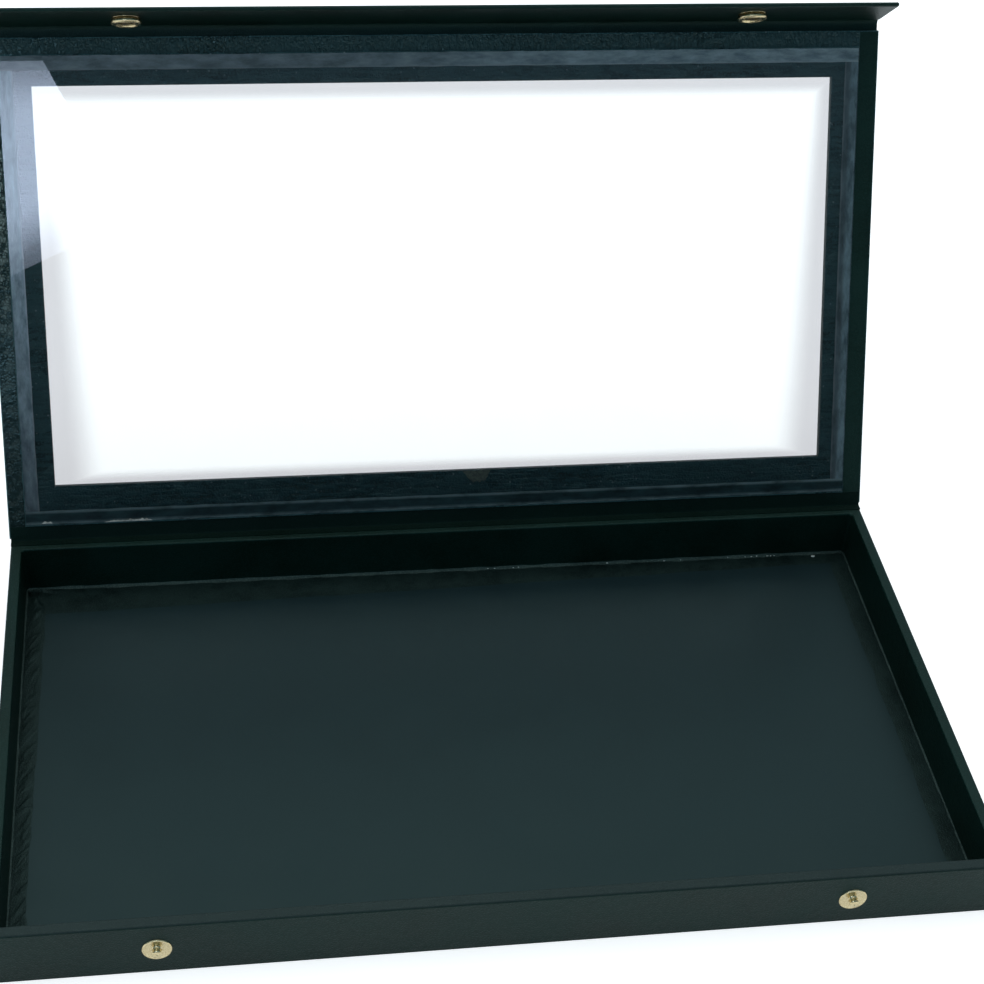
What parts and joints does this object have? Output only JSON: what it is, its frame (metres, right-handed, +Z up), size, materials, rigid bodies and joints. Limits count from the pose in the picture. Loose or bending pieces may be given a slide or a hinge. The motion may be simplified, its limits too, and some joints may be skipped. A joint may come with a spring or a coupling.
{
  "type": "necklace display box",
  "caption": "Shallow leatherette-covered display tray with a hinged clear-window lid and a snap-down front flap, for showing necklaces and other jewellery.",
  "frame": {"origin": "middle of the tray's underside, on the table", "axes": "+X to the right along the case, +Y to the back, where the lid is hinged, +Z up"},
  "size_m": [0.3758, 0.3081, 0.2348],
  "materials": {
    "grained_leatherette": "fine crinkle grain, satin",
    "smooth_leatherette": "smooth, satin",
    "greyboard": "raw board, matt",
    "clear_sheet": "clear, polished",
    "double_sided_tape": "film tape, mottled",
    "brass": "pressed and plated, bright",
    "spring_steel": "drawn wire"
  },
  "bodies": {
    "tray": {"bottom_board": "greyboard", "bottom_cover": "grained_leatherette", "wall_board_front": "greyboard", "wall_board_back": "greyboard", "wall_board_left": "greyboard", "wall_board_right": "greyboard", "wall_cover_front": "grained_leatherette", "wall_cover_back": "grained_leatherette", "wall_cover_left": "grained_leatherette", "wall_cover_right": "grained_leatherette", "floor_card": "greyboard", "floor_lining": "smooth_leatherette", "spine_board": "greyboard", "spine_cover": "grained_leatherette", "inner_hinge_strip": "grained_leatherette", "outer_hinge_strip": "grained_leatherette", "snap_studs": "brass", "stud_rivets": "brass"},
    "lid": {"lid_rail_front": "greyboard", "lid_rail_back": "greyboard", "lid_rail_left": "greyboard", "lid_rail_right": "greyboard", "lid_cover": "grained_leatherette", "lid_lining": "grained_leatherette", "pane": "clear_sheet", "tape_front": "double_sided_tape", "tape_back": "double_sided_tape", "tape_left": "double_sided_tape", "tape_right": "double_sided_tape", "flap_hinge_strip": "grained_leatherette"},
    "flap": {"flap_board": "greyboard", "flap_cover": "grained_leatherette", "flap_lining": "grained_leatherette", "snap_sockets": "brass", "socket_springs": "spring_steel", "snap_caps": "brass"}
  },
  "joints": [
    {"name": "lid_hinge", "type": "hinge", "parent": "tray", "child": "lid", "pos_m": [0, 0.10418, 0.0257], "axis": [1, 0, 0], "range_deg": [0, 116], "deforming": ["inner_hinge_strip", "outer_hinge_strip"]},
    {"name": "flap_fold", "type": "hinge", "parent": "lid", "child": "flap", "pos_m": [0, 0.20093, 0.21655], "axis": [1, 0, 0], "range_deg": [-76.5, 13.5], "deforming": ["flap_hinge_strip"]}
  ]
}
